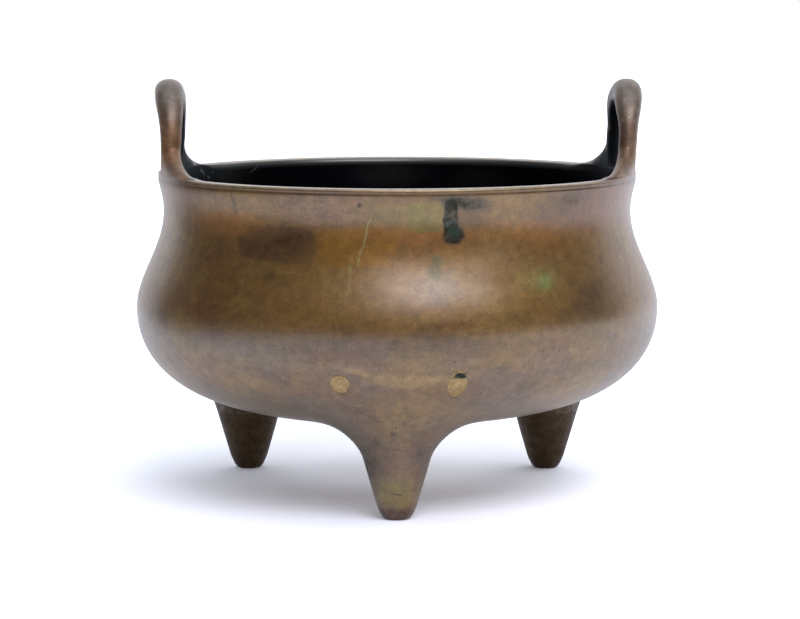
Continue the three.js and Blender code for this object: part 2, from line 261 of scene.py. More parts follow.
HANDLE_STAINS = (
    Stain("amber", (-107, -26, 156), (12, 14, 15), 0.35, 0.6),
    Stain("russet", (-107, 26, 156), (12, 14, 15), 0.4, 0.6),
    # Painted shade down the near strands' edges that face the bowl's axis
    Stain("umber", (-103, -28, 172), (1.2, 9, 10), 0.5, 0.8),
    Stain("umber", (102, -28, 162), (1.2, 9, 16), 0.5, 0.8),
    Stain("worn_and_sheen", (101, -28, 169.3), (0.8, 9, 0.6)),
    Stain("worn_and_sheen", (104.6, -27, 170.6), (0.4, 9, 0.6)),
)
INSIDE_STAINS = (
    Stain("ash_and_sheen", (-92, 45, 139), (16, 40, 8), 0.3, 0.8),
    Stain("slate", (-96, 40, 140), (14, 50, 12), edge=0.6),
    Stain("ash_and_sheen", (-92.4, 41, 142), (0.25, 20, 2.2), 0.65, turn=-8),
    Stain("ash_and_sheen", (-90.2, 45, 138.8), (0.5, 20, 0.8), 0.7),
    Stain("ash_and_sheen", (-87.7, 49, 141.4), (0.4, 20, 0.5), 0.3),
    Stain("ash_and_sheen", (-69.6, 73, 142), (0.35, 20, 3.2), 0.8, turn=38),
    Stain("ash_and_sheen", (-4, 100, 136), (16, 20, 6), 0.12, 0.9),
    Stain("ash_and_sheen", (40, 90, 134), (12, 20, 5), 0.1, 0.9),
)
SPACER_STAINS = (
    Stain("verdigris_black", (28, -112, 67.3), (4.4, 10, 1.9), edge=0.25, turn=-14),
    Stain("umber", (-20, -111, 61), (1.2, 10, 1), 0.7, 0.5),
    Stain("gold", (27, -110, 57), (5, 10, 4), 0.8, 0.3),
)
BROWN_CLOUDS = (
    Cloud("gold", 45, 0.42, 0.66, 0.7),
    Cloud("russet", 30, 0.45, 0.72, 0.55, (1, 1, 2.5)),
    Cloud("umber", 16, 0.48, 0.8, 0.5, (1, 1, 2)),
    Cloud("tan", 9, 0.55, 0.75, 0.35, (1, 1, 3)),
)
HANDLE_CLOUDS = (
    Cloud("umber", 12, 0.45, 0.7, 0.35),
    Cloud("tan", 9, 0.5, 0.75, 0.5, (1, 1, 0.5)),
)
# Clouds in the painted shade of the rear feet
SHADED_FOOT_CLOUDS = (Cloud("umber", 14, 0.45, 0.7, 0.7),)
SOOT_CLOUDS = (Cloud("slate", 25, 0.5, 0.75, 0.7),)
BRASS_CLOUDS = (Cloud("dull_brass", 5, 0.4, 0.7),)

# Dark pits and pale specks, drawn at about twice their real size so that they show
SPECKS = (Cloud("umber", 2.2, 0.61, 0.68), Cloud("pale_green", 1.7, 0.63, 0.7))

# Patina: the noise that makes the edges of its spots uneven and breaks the spots up, between
# two levels of it and down to a share of their strength. Then the casting's grain, whose
# sizes come with how much each one lightens and darkens, and its bumps: size, detail,
# strength and height
RAGGED_GRAIN = 6 * MM
RAGGED_SHIFT = 4 * MM
STAIN_GRAIN = 2.5 * MM
BREAK_LEVELS = (0.35, 0.55)
BREAK_LEAST = 0.82
GRAIN_LEVELS = (0.35, 0.65)
CASTING_GRAINS = ((0.7 * MM, 0.15), (4 * MM, 0.14))
CASTING_BUMPS = ((22 * MM, 2, 0.5, 0.6 * MM), (1.6 * MM, 3, 0.25, 0.05 * MM))

# Heights or distances at which one look starts to turn into another, and at which it has
SHOULDER_START = (78 * MM, 92 * MM)
NECK_START = (122 * MM, 136 * MM)
# Along Y: where the pale lip of wear and painted highlight starts, and where it is whole
LIP_WEAR_AND_SHEEN = (56 * MM, 78 * MM)
GRIP_START = (144 * MM, 151 * MM)
CROWN_START = (158 * MM, 180 * MM)
HANDLE_FOOT_GLOSS = (153.5 * MM, 146 * MM)
CROWN_GLOSS = (158 * MM, 176 * MM)
INNER_DARK_DEPTH = (INNER_RIM + 1.8 * MM, INNER_RIM + 0.2 * MM)
INNER_DARK_TOP = (178 * MM, 168 * MM)
INNER_DARK_SIDE = (0, 12 * MM)
ASH_BAND = (141 * MM, 143.6 * MM)
ASH_BAND_ENDS = (95 * MM, 78 * MM)

# The same for the opening of a loop, as shares of it, and for the lightness of a metal
# whose marks are dull. The grip keeps this much of the gloss
LOOP_DARK = (1.26, 1.1)
DULL_LIGHT = (0.015, 0.1)
GRIP_GLOSS = 0.25

# The soot starts this far in from the lip's inner edge
SOOT_EDGE = 0.6 * MM

# Studio, in metres: the paper ends in front and at the left, and past it nothing is lit
FLOOR_RADIUS = 6
FLOOR_FRONT = -0.69
FLOOR_LEFT = -0.45
PAPER = 0xE6ECFA
PAPER_GLOW = 0xE8F0FF

# The paper's white for the camera and its glow: near the object, far from it, between which
# distances, and under the bowl, where light goes to and fro between bowl and paper
FLOOR_GAIN = 1.9
FLOOR_LIFT = 0.07
FLOOR_RISE = 0.5
FLOOR_FAR = (0.15, 0.8)
FLOOR_BOUNCE = 0.17
BOUNCE_PLACE = (-5 * MM, 48 * MM, 0)
BOUNCE_REACH = (85 * MM, 35 * MM)

# Light from behind and from the front, and how much of it comes from the right and from high
BACK_LIGHT = 0.98
FRONT_LIGHT = 0.62
RIGHT_LIGHT = 0.35
HIGH_LIGHT = 0.4
HIGH_AIM = (0.2, 0.45, 0.87)

# What a gloss sees: the unlit side of the studio, its right side and the ceiling
UNLIT_LEVEL = 0.08
UNLIT_HALF_ANGLE = math.radians(123)
UNLIT_EDGE = math.radians(7)
UNLIT_TURN = math.radians(-6.5)
RIGHT_GLOSS = 0.08
CEILING = (0.86, 0.93)
CEILING_LEVEL = 1.0
WHITE = 0xFFFFFF
GLOSS_WHITE = 0xF0F5FF

# Lamp and camera
SOFTBOX_PLACE = (0.45, -1.2, 1.53)
SOFTBOX_AIM = (0, 0, 0.1)
SOFTBOX_SIZE = (1.35, 0.75)
SOFTBOX_COLOUR = 0xFFF8FC
SENSOR_WIDTH = 36
CAMERA_CLIP = (0.05, 50)

# How finely the shapes are divided
BOWL_STEPS = 240
BASE_ROWS = 5
LOWER_WALL_ROWS = 40
PATCH_WALL_ROWS = 29
SHOULDER_ROWS = 30
NECK_ROWS = 12
INNER_ROWS = 26
ROUNDING_ROWS = 7
GROOVE_ROWS = 8
SOLE_ROWS = 10
CONE_ROWS = 22
CONE_EASE = 1.6
JOIN_RINGS = 9
# In millimetres, the first ring's step out from a foot's top, and its growth from ring to ring
FIRST_JOIN_STEP = 0.35
JOIN_STEP_GROWTH = 0.16
WEAVE_CUTS = 16
WALL_SAMPLES = 3000
FLARE_POINTS = 16
ARCH_POINTS = 36
HANDLE_EDGE_SEGMENTS = 8
HANDLE_CAP_CUTS = 12
SPACER_RINGS = 5
SPACER_SEGMENTS = 48
FLOOR_SEGMENTS = 96
WELD = 0.001 * MM

# Steps over which a slope is measured
ROOT_STEP = 0.05 * MM
WALL_STEP = 0.5 * MM


def linear(hex_colour):
    """A colour written as sRGB hex, as the linear RGBA that sockets hold."""
    channels = [(hex_colour >> shift & 255) / 255 for shift in (16, 8, 0)]
    lit = [c / 12.92 if c <= 0.04045 else ((c + 0.055) / 1.055) ** 2.4 for c in channels]
    return (*lit, 1.0)


def point(radius, height):
    """A point of an outline, which is drawn in the XZ plane."""
    return Vector((radius, 0, height))


def curve(start, start_handle, end_handle, end, rows):
    """Points along one Bezier curve, its two ends among them."""
    return interpolate_bezier(start, start_handle, end_handle, end, rows + 1)


def arc(centre, across, up, start, end, rows):
    """Points along a part of an ellipse, its angles in degrees."""
    points = []
    for i in range(rows + 1):
        angle = math.radians(start + (end - start) * i / rows)
        points.append(centre + point(across * math.cos(angle), up * math.sin(angle)))
    return points


def smooth_step(value, start, end):
    """From 0 at the start to 1 at the end, gently at both."""
    share = min(1.0, max(0.0, (value - start) / (end - start)))
    return share * share * (3 - 2 * share)


def lower_wall(rows):
    """The bowl's outline from the edge of its base out to the belly."""
    base, belly = point(BASE_RADIUS, BASE_HEIGHT), point(BELLY_RADIUS, BELLY_HEIGHT)
    across, up = (belly.x - base.x) * LOWER_SHARES[0], (belly.z - base.z) * LOWER_SHARES[1]
    return curve(base, base + point(across, 0), belly - point(0, up), belly, rows)


def upright(start, end, shares, rows):
    """A curve that leaves its start and reaches its end straight upwards."""
    rise = end.z - start.z
    leaving, reaching = point(0, rise * shares[0]), point(0, rise * shares[1])
    return curve(start, start + leaving, end - reaching, end, rows)


def shoulder(rows):
    """The outline from the belly in to the throat."""
    belly, throat = point(BELLY_RADIUS, BELLY_HEIGHT), point(THROAT_RADIUS, THROAT_HEIGHT)
    return upright(belly, throat, SHOULDER_SHARES, rows)


def neck():
    """The outline from the throat up to the groove."""
    throat, rim = point(THROAT_RADIUS, THROAT_HEIGHT), point(RIM_RADIUS, GROOVE_BOTTOM)
    return upright(throat, rim, NECK_SHARES, NECK_ROWS)


def inner_wall(outline, wall):
    """An outline moved in by the wall's thickness, square to itself."""
    moved = []
    for i, at in enumerate(outline):
        before, after = outline[max(i - 1, 0)], outline[min(i + 1, len(outline) - 1)]
        along = (after - before).normalized()
        moved.append(at + point(-along.z, along.x) * wall)
    return moved


def bowl_outline(wall):
    """The whole outline of the bowl, from the middle of its base to the middle of its floor."""
    outer_middle = point(RIM_RADIUS - OUTER_LEAN, BOWL_HIGH.z - OUTER_ROUNDING)
    inner_middle = point(INNER_RIM + INNER_ROUNDING, BOWL_HIGH.z - INNER_ROUNDING)
    groove = []
    for i in range(GROOVE_ROWS + 1):
        share = i / GROOVE_ROWS
        depth = GROOVE_DEPTH * math.sin(math.pi * share) ** 2
        groove.append(point(RIM_RADIUS - depth, GROOVE_BOTTOM + GROOVE_HEIGHT * share))
    base = [point(0, BASE_HEIGHT), point(PATCH_INNER_RADIUS / 2, BASE_HEIGHT)]
    for i in range(BASE_ROWS):
        share = i / BASE_ROWS
        base.append(point(PATCH_INNER_RADIUS * (1 - share) + BASE_RADIUS * share, BASE_HEIGHT))
    outside = [
        *base,
        *lower_wall(LOWER_WALL_ROWS),
        *shoulder(SHOULDER_ROWS)[1:],
        *neck()[1:-1],
        *groove,
        *arc(outer_middle, OUTER_LEAN, OUTER_ROUNDING, 0, 90, ROUNDING_ROWS),
        *arc(inner_middle, INNER_ROUNDING, INNER_ROUNDING, 90, 180, ROUNDING_ROWS),
    ]
    inside = [
        *inner_wall(lower_wall(INNER_ROWS), wall),
        *inner_wall(shoulder(INNER_ROWS), wall)[1:],
    ]
    return [*outside, *reversed(inside), point(0, BASE_HEIGHT + wall)]


WALL_CURVE = lower_wall(WALL_SAMPLES)
WALL_RADII = [at.x for at in WALL_CURVE]
WALL_HEIGHTS = [at.z for at in WALL_CURVE]


def between(keys, values, key):
    """The value at a key, from two rising lists."""
    i = min(max(bisect.bisect_left(keys, key), 1), len(keys) - 1)
    share = (key - keys[i - 1]) / max(keys[i] - keys[i - 1], 1e-12)
    return values[i - 1] + (values[i] - values[i - 1]) * share


def underside(radius):
    """Height of the bowl's underside at a distance from its middle, without the roots."""
    if radius <= BASE_RADIUS:
        return BASE_HEIGHT
    return between(WALL_RADII, WALL_HEIGHTS, radius)


def plain_root(distance, direction):
    """Height of a foot's root by the frame's own rule, seen from the foot's axis."""
    outward = max(0.0, math.cos(direction))
    turn = outward * outward * (3 - 2 * outward)
    reach = ROOT_REACH_SIDE + (ROOT_REACH_OUT - ROOT_REACH_SIDE) * turn
    exponent = ROOT_EXPONENT_SIDE + (ROOT_EXPONENT_OUT - ROOT_EXPONENT_SIDE) * turn
    out, side = math.cos(direction), math.sin(direction)
    here = underside(math.hypot(FOOT_CIRCLE + distance * out, distance * side))
    edge = underside(math.hypot(FOOT_CIRCLE + FOOT_TOP_RADIUS * out, FOOT_TOP_RADIUS * side))
    beyond = min(1.0, max(0.0, (distance - FOOT_TOP_RADIUS) / (reach - FOOT_TOP_RADIUS)))
    return here - (edge - FOOT_TOP_HEIGHT) * (1 - beyond) ** exponent


def join_slopes(direction):
    """The root's own slope at the top of a foot, and the slope at which both meet."""
    start = plain_root(FOOT_TOP_RADIUS, direction)
    root_slope = (plain_root(FOOT_TOP_RADIUS + ROOT_STEP, direction) - start) / ROOT_STEP
    meeting = math.tan((math.atan(root_slope) + math.atan(CONE_SLOPE)) / 2)
    return root_slope, meeting


def root_height(distance, direction):
    """Height of a root whose start bends softly into the foot's cone."""
    root_slope, meeting = join_slopes(direction)
    past = max(0.0, distance - FOOT_TOP_RADIUS)
    bend = (meeting - root_slope) * past * math.exp(-past / JOIN_SOFTNESS)
    return plain_root(distance, direction) + bend


def foot_angle(name):
    """Direction of a foot from the bowl's axis, in degrees."""
    return FRONT_FOOT_ANGLE + 360 * FOOT_NAMES.index(name) / len(FOOT_NAMES)


def foot_place(name):
    """Matrix from a foot's own axes, with X pointing outwards, to the bowl's."""
    turn = Matrix.Rotation(math.radians(foot_angle(name)), 4, "Z")
    return turn @ Matrix.Translation((FOOT_CIRCLE, 0, 0))


def spun(bm, outline, steps):
    """A closed body turned round the Z axis from an outline in the XZ plane."""
    verts = [bm.verts.new(at) for at in outline]
    edges = [bm.edges.new(pair) for pair in zip(verts, verts[1:])]
    bmesh.ops.spin(
        bm, geom=verts + edges, cent=(0, 0, 0), axis=(0, 0, 1),
        angle=math.tau, steps=steps, use_merge=True,
    )
    bmesh.ops.remove_doubles(bm, verts=bm.verts[:], dist=WELD)


def extrude_ring(bm, edges, widen=1, rise=0, space=Matrix()):
    """Extrudes a new ring of edges from one, widened about a space's Z axis and raised."""
    made = bmesh.ops.extrude_edge_only(bm, edges=edges)["geom"]
    verts = [g for g in made if isinstance(g, bmesh.types.BMVert)]
    bmesh.ops.scale(bm, vec=(widen, widen, 1), verts=verts, space=space)
    bmesh.ops.translate(bm, vec=(0, 0, rise), verts=verts)
    return edges_of(verts, made)


def edges_of(verts, among):
    """Those edges of a list whose two ends are both among some vertices."""
    ends = set(verts)
    return [g for g in among if isinstance(g, bmesh.types.BMEdge) and set(g.verts) <= ends]


def add_object(name, data):
    """Adds an object to the scene, at the origin."""
    added = bpy.data.objects.new(name, data)
    bpy.context.scene.collection.objects.link(added)
    return added


def add_mesh(name, bm):
    """Adds the object that a finished bmesh makes."""
    mesh = bpy.data.meshes.new(name)
    bm.to_mesh(mesh)
    bm.free()
    return add_object(name, mesh)


def finish_piece(bm, name, node):
    """Makes the object of one piece, smooth, outward-facing and riding on the frame."""
    bmesh.ops.recalc_face_normals(bm, faces=bm.faces[:])
    for face in bm.faces:
        face.smooth = True
    piece = add_mesh(name, bm)
    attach(piece, "root")
    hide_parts(node)
    return piece


def from_handle(at):
    """Distance along the rim from the middle of the nearer handle."""
    angle = math.degrees(math.atan2(at.y, at.x)) - HANDLE_TURN
    return math.radians(abs((angle + 90) % 180 - 90)) * RIM_RADIUS


def fade_lip(bm):
    """Takes the groove and the lip's roundings away where a handle stands on the rim."""
    middle = (INNER_RIM + INNER_ROUNDING + RIM_RADIUS - OUTER_LEAN) / 2
    for vert in bm.verts:
        if vert.co.z < GROOVE_BOTTOM - WELD:
            continue
        radius = math.hypot(vert.co.x, vert.co.y)
        left = smooth_step(from_handle(vert.co), *LIP_FADE)
        sunk = LIP_DROP * left * smooth_step(vert.co.z, BOWL_HIGH.z - BAND_HEIGHT, BOWL_HIGH.z)
        if radius > middle:
            if vert.co.z > BOWL_HIGH.z - OUTER_ROUNDING - WELD:
                left = max(left, ROUNDING_LEFT)
                vert.co.z = BOWL_HIGH.z + (vert.co.z - BOWL_HIGH.z) * left
            moved = RIM_RADIUS + (radius - RIM_RADIUS) * left
        elif vert.co.z > BOWL_HIGH.z - INNER_ROUNDING - WELD and radius > INNER_RIM - WELD:
            left = max(left, ROUNDING_LEFT)
            vert.co.z = BOWL_HIGH.z + (vert.co.z - BOWL_HIGH.z) * left
            moved = INNER_RIM + (radius - INNER_RIM) * left
        else:
            moved = radius
        vert.co.z -= sunk
        vert.co.xy *= moved / radius


def weave_root(bm, name):
    """Opens the lower wall round one foot and weaves it in to a ring at the foot's top."""
    place = foot_place(name)
    into_foot = place.inverted()
    turn_back = Matrix.Rotation(-math.radians(foot_angle(name)), 4, "Z")
    outer_radius = lower_wall(LOWER_WALL_ROWS)[PATCH_WALL_ROWS].x

    def in_patch(at):
        at = turn_back @ at
        radius = math.hypot(at.x, at.y)
        outside = at.z < underside(radius) + UNDERSIDE_MARGIN
        in_rows = PATCH_INNER_RADIUS - WELD < radius < outer_radius + WELD
        in_sector = abs(math.atan2(at.y, at.x)) < math.radians(PATCH_HALF_ANGLE) + WELD
        return outside and in_rows and in_sector

    patch = [face for face in bm.faces if in_patch(face.calc_center_median())]
    bmesh.ops.delete(bm, geom=patch, context="FACES")
    border = [edge for edge in bm.edges if edge.is_boundary]
    made = bmesh.ops.create_circle(
        bm, cap_ends=False, segments=len(border), radius=FOOT_TOP_RADIUS,
        matrix=place @ Matrix.Translation((0, 0, FOOT_TOP_HEIGHT)),
    )
    seat = edges_of(made["verts"], bm.edges)

    ring, radius = seat, FOOT_TOP_RADIUS
    for i in range(JOIN_RINGS):
        wider = radius + (FIRST_JOIN_STEP + JOIN_STEP_GROWTH * i) * MM
        ring = extrude_ring(bm, ring, wider / radius, space=into_foot)
        radius = wider
    rungs = bmesh.ops.bridge_loops(bm, edges=border + ring)["edges"]
    bmesh.ops.subdivide_edges(bm, edges=rungs, cuts=WEAVE_CUTS, use_grid_fill=True)
    for vert in [vert for vert in bm.verts if in_patch(vert.co)]:
        at = into_foot @ vert.co
        vert.co.z = root_height(math.hypot(at.x, at.y), math.atan2(at.y, at.x))

    socket_radius = TENON_RADIUS + TENON_CLEARANCE
    mouth = extrude_ring(bm, seat, socket_radius / FOOT_TOP_RADIUS, space=into_foot)
    end = extrude_ring(bm, mouth, rise=TENON_LENGTH + TENON_CLEARANCE)
    bmesh.ops.edgeloop_fill(bm, edges=end)
    for edge in [*seat, *mouth, *end]:
        edge.smooth = False
    return len(seat)


def build_bowl(wall):
    """The bowl with its rim, its roots and the sockets of the feet. Its inside is sooty."""
    bm = bmesh.new()
    spun(bm, bowl_outline(wall), BOWL_STEPS)
    fade_lip(bm)
    counts = [weave_root(bm, name) for name in FOOT_NAMES]
    if set(counts) != {foot_segments()}:
        raise RuntimeError(f"the roots' rings have {counts} edges, and the feet {foot_segments()}")
    bmesh.ops.recalc_face_normals(bm, faces=bm.faces[:])
    for face in bm.faces:
        middle = face.calc_center_median()
        radius = math.hypot(middle.x, middle.y)
        in_neck = middle.z > THROAT_HEIGHT and radius < INNER_RIM + SOOT_EDGE
        facing_in = face.normal.dot(middle - Vector((0, 0, BELLY_HEIGHT))) < 0
        in_belly = middle.z < THROAT_HEIGHT and facing_in and radius > FOOT_CIRCLE
        on_floor = middle.z > BASE_HEIGHT + wall / 2 and facing_in
        if in_neck or in_belly or on_floor:
            face.material_index = 1
    return finish_piece(bm, "bronze_bowl", "bowl")


def foot_segments():
    """As many segments as the border of the opening that is woven in to a foot."""
    columns = round(2 * PATCH_HALF_ANGLE * BOWL_STEPS / 360)
    return 2 * (columns + BASE_ROWS + PATCH_WALL_ROWS)


def build_foot(name):
    """A cone with a small flat sole and a tenon, whose top bends softly into its root."""
    bm = bmesh.new()
    rim, ankle = point(SOLE_RADIUS, 0), point(ANKLE_RADIUS, ANKLE_HEIGHT)
    corner = point(SOLE_RADIUS + (ANKLE_RADIUS - SOLE_RADIUS) * SOLE_ROUNDING_SHARE, 0)
    sole = curve(rim, rim.lerp(corner, 2 / 3), ankle.lerp(corner, 2 / 3), ankle, SOLE_ROWS)
    seat = point(FOOT_TOP_RADIUS, FOOT_TOP_HEIGHT)
    cone = [seat.lerp(ankle, (1 - i / CONE_ROWS) ** CONE_EASE) for i in range(1, CONE_ROWS + 1)]
    top = FOOT_TOP_HEIGHT + TENON_LENGTH
    outline = [
        point(0, 0),
        *sole,
        *cone,
        point(TENON_RADIUS, FOOT_TOP_HEIGHT),
        point(TENON_RADIUS, top - TENON_CHAMFER),
        point(TENON_RADIUS - TENON_CHAMFER, top),
        point(0, top),
    ]
    spun(bm, outline, foot_segments())
    for vert in bm.verts:
        radius = math.hypot(vert.co.x, vert.co.y)
        under = FOOT_TOP_HEIGHT - vert.co.z
        if under > 0 and vert.co.z > ANKLE_HEIGHT:
            meeting = join_slopes(math.atan2(vert.co.y, vert.co.x))[1]
            bend = (1 / meeting - 1 / CONE_SLOPE) * under * math.exp(-under / JOIN_SOFTNESS)
            vert.co.xy *= (radius - bend) / radius
    for edge in bm.edges:
        start, end = (point(vert.co.xy.length, vert.co.z) for vert in edge.verts)
        if (end - start).length < WELD and start.z > FOOT_TOP_HEIGHT - WELD:
            edge.smooth = False
    bmesh.ops.transform(bm, matrix=foot_place(name), verts=bm.verts[:])
    return finish_piece(bm, f"bronze_{name}", name)


def handle_chains():
    """The outer and the inner edge of a handle, each as points from one skirt to the other.
    Here X is along the rim and Z is the height over it."""
    height = HANDLE_HIGH.z - SKIN_GAP - BOWL_HIGH.z
    springing = point(0, FLARE_HEIGHT)
    outer = [
        point(FLARE_REACH, -HANDLE_SKIRT),
        *curve(
            point(FLARE_REACH, 0),
            point(FLARE_REACH - (FLARE_REACH - STRAND_OUTER_EDGE) * FLARE_SHARES[0], 0),
            point(STRAND_OUTER_EDGE, FLARE_HEIGHT * FLARE_SHARES[1]),
            point(STRAND_OUTER_EDGE, FLARE_HEIGHT),
            FLARE_POINTS,
        ),
        *arc(springing, STRAND_OUTER_EDGE, height - FLARE_HEIGHT, 0, 90, ARCH_POINTS)[1:],
    ]
    fillet_middle = point(STRAND_INNER_EDGE - INNER_FILLET, INNER_FILLET)
    arch_height = height - CROWN_THICKNESS - FLARE_HEIGHT
    inner = [
        point(STRAND_INNER_EDGE - INNER_FILLET, -HANDLE_SKIRT),
        *arc(fillet_middle, INNER_FILLET, INNER_FILLET, -90, 0, FLARE_POINTS),
        *arc(springing, STRAND_INNER_EDGE, arch_height, 0, 90, ARCH_POINTS)[1:],
    ]
    chains = []
    for side in (outer, inner):
        mirrored = [point(-at.x, at.z) for at in reversed(side[:-1])]
        chains.append([*side, *mirrored])
    return chains


def handle_depth(across, height, strand_depth):
    """Where the middle of the bar lies, from the bowl's axis, and how deep the bar is."""
    flared = (abs(across) - STRAND_OUTER_EDGE) / (FLARE_REACH - STRAND_OUTER_EDGE)
    along = min(1.0, max(0.0, flared))
    risen = smooth_step(height, 0, STRAND_START) * (1 - along)
    depth = RIM_WIDTH + (strand_depth - RIM_WIDTH) * risen
    swell = smooth_step(height, *CROWN_SWELL)
    middle = RIM_RADIUS - RIM_WIDTH / 2 - CROWN_INSET * swell
    return middle, depth + (CROWN_DEPTH - depth) * swell


def build_handle(name, angle, strand_depth):
    """A loop cut from a plate, its edges rounded, which is then bent round the rim."""
    bm = bmesh.new()
    chain_edges = []
    for chain in handle_chains():
        verts = [bm.verts.new(at) for at in chain]
        chain_edges.extend(bm.edges.new(pair) for pair in zip(verts, verts[1:]))
    bmesh.ops.bridge_loops(bm, edges=chain_edges)
    bmesh.ops.translate(bm, vec=(0, -PLATE_DEPTH / 2, 0), verts=bm.verts[:])
    made = bmesh.ops.extrude_face_region(bm, geom=bm.faces[:])["geom"]
    raised = [g for g in made if isinstance(g, bmesh.types.BMVert)]
    bmesh.ops.translate(bm, vec=(0, PLATE_DEPTH, 0), verts=raised)
    bmesh.ops.recalc_face_normals(bm, faces=bm.faces[:])

    def is_cap(face):
        return abs(face.normal.y) > CAP_FACING

    def at_skirt(edge):
        return all(vert.co.z < -HANDLE_SKIRT + WELD for vert in edge.verts)

    rounded = [
        edge for edge in bm.edges
        if len({is_cap(face) for face in edge.link_faces}) == 2 and not at_skirt(edge)
    ]
    bmesh.ops.bevel(
        bm, geom=rounded, offset=EDGE_INSET, offset_type="OFFSET", affect="EDGES",
        segments=HANDLE_EDGE_SEGMENTS, profile=0.5, material=-1, clamp_overlap=False,
        loop_slide=True,
    )
    bm.normal_update()
    long_edges = [
        edge for edge in bm.edges
        if len(edge.link_faces) == 2
        and all(abs(face.normal.y) > FLAT_FACING for face in edge.link_faces)
    ]
    bmesh.ops.subdivide_edges(bm, edges=long_edges, cuts=HANDLE_CAP_CUTS, use_grid_fill=True)
    everything = [*bm.verts, *bm.edges, *bm.faces]
    cut = bmesh.ops.bisect_plane(
        bm, geom=everything, plane_co=(0, 0, 0), plane_no=(0, 0, 1), clear_inner=True
    )["geom_cut"]
    cut_edges = [g for g in cut if isinstance(g, bmesh.types.BMEdge)]
    bmesh.ops.edgeloop_fill(bm, edges=cut_edges)
    for edge in cut_edges:
        edge.smooth = False
    for vert in bm.verts:
        across, height = vert.co.x, vert.co.z
        middle, depth = handle_depth(across, height, strand_depth)
        radius = middle + vert.co.y * depth / PLATE_DEPTH
        turn = across / RIM_RADIUS + math.radians(angle)
        shift = HANDLE_SHIFT * smooth_step(height, 0, STRAND_START)
        vert.co = (radius * math.cos(turn) + shift, radius * math.sin(turn), BOWL_HIGH.z + height)
    return finish_piece(bm, f"bronze_{name}", name)


def wall_point(angle, up):
    """A point on the lower wall: an angle in degrees, and a distance up along the wall
    from the middle of the spacers."""
    ends = [
        point(between(WALL_HEIGHTS, WALL_RADII, height), height)
        for height in (SPACER_HEIGHT, SPACER_HEIGHT + WALL_STEP)
    ]
    along = (ends[1] - ends[0]).normalized()
    height = SPACER_HEIGHT + up * along.z
    radius = between(WALL_HEIGHTS, WALL_RADII, height)
    normal = point(along.z, -along.x)
    at = point(radius, height) + normal * SPACER_PROUD
    turn = Matrix.Rotation(math.radians(angle), 3, "Z")
    return turn @ at, turn @ normal


def build_spacer(name, angle, length):
    """An oval plug whose face follows the wall, with its back inside the wall."""
    bm = bmesh.new()
    bmesh.ops.create_circle(bm, cap_ends=False, segments=SPACER_SEGMENTS, radius=1)
    ring = edges = bm.edges[:]
    for left in reversed(range(SPACER_RINGS)):
        ring = extrude_ring(bm, ring, left / (left + 1))
    bmesh.ops.remove_doubles(bm, verts=bm.verts[:], dist=WELD)
    bmesh.ops.edgeloop_fill(bm, edges=extrude_ring(bm, edges, rise=-1))
    for vert in bm.verts:
        sink = -vert.co.z
        across = vert.co.x * SPACER_WIDTH / 2
        radius = between(WALL_HEIGHTS, WALL_RADII, SPACER_HEIGHT)
        at, normal = wall_point(angle + math.degrees(across / radius), vert.co.y * length / 2)
        vert.co = at - normal * sink * SPACER_THICKNESS
    return finish_piece(bm, f"brass_{name}", name)


def add_node(tree, kind, inputs=None, **settings):
    """Adds a shader node with its settings. Its inputs are values, sockets to link from, or
    nodes, which stand for their first output in use."""
    node = tree.nodes.new("ShaderNode" + kind)
    for key, value in settings.items():
        setattr(node, key, value)
    for key, value in (inputs or {}).items():
        if isinstance(value, bpy.types.Node):
            value = next(output for output in value.outputs if output.enabled)
        if isinstance(value, bpy.types.NodeSocket):
            tree.links.new(value, node.inputs[key])
        else:
            node.inputs[key].default_value = value
    return node


def empty_tree(owner):
    """The cleared node tree of a material or a world."""
    owner.use_nodes = True
    owner.node_tree.nodes.clear()
    return owner.node_tree


def shade(name):
    """One of the colours of the panel."""
    return getattr(bpy.context.scene.censer_colours, name)


def soft_mask(tree, strength, *steps):
    """A strength, which is a number or another mask, times one soft step for each value,
    from 0 at the step's start to 1 at its end."""
    for value, start, end in steps:
        strength = add_node(
            tree, "MapRange",
            {"Value": value, "From Min": start, "From Max": end, "To Max": strength},
            interpolation_type="SMOOTHSTEP",
        )
    return strength


def laid(tree, under, name, strength, *steps):
    """Lays a colour of the panel over another one through a soft mask."""
    mask = soft_mask(tree, strength, *steps)
    return add_node(tree, "Mix", {0: mask, 6: under, 7: shade(name)}, data_type="RGBA")


def clouded(tree, place, colour, clouds, amount=1.0):
    """Lays every cloud of a list over a colour."""
    for cloud in clouds:
        spread = add_node(tree, "Mapping", {"Vector": place, "Scale": cloud.squeeze})
        noise = add_node(
            tree, "TexNoise",
            {"Vector": spread, "Scale": 1 / (cloud.grain * MM), "Detail": 4, "Roughness": 0.6},
        )
        strength = cloud.strength * amount
        colour = laid(tree, colour, cloud.colour, strength, (noise, cloud.low, cloud.high))
    return colour


def ragged_place(tree, place):
    """Object coordinates pushed about by a noise, which gives spots their uneven edges."""
    push = add_node(tree, "TexNoise", {"Vector": place, "Scale": 1 / RAGGED_GRAIN, "Detail": 3})
    centred = add_node(
        tree, "VectorMath", {0: push.outputs["Color"], 1: (0.5, 0.5, 0.5)}, operation="SUBTRACT"
    )
    shift = add_node(tree, "VectorMath", {0: centred, "Scale": RAGGED_SHIFT}, operation="SCALE")
    return add_node(tree, "VectorMath", {0: place, 1: shift}, operation="ADD")


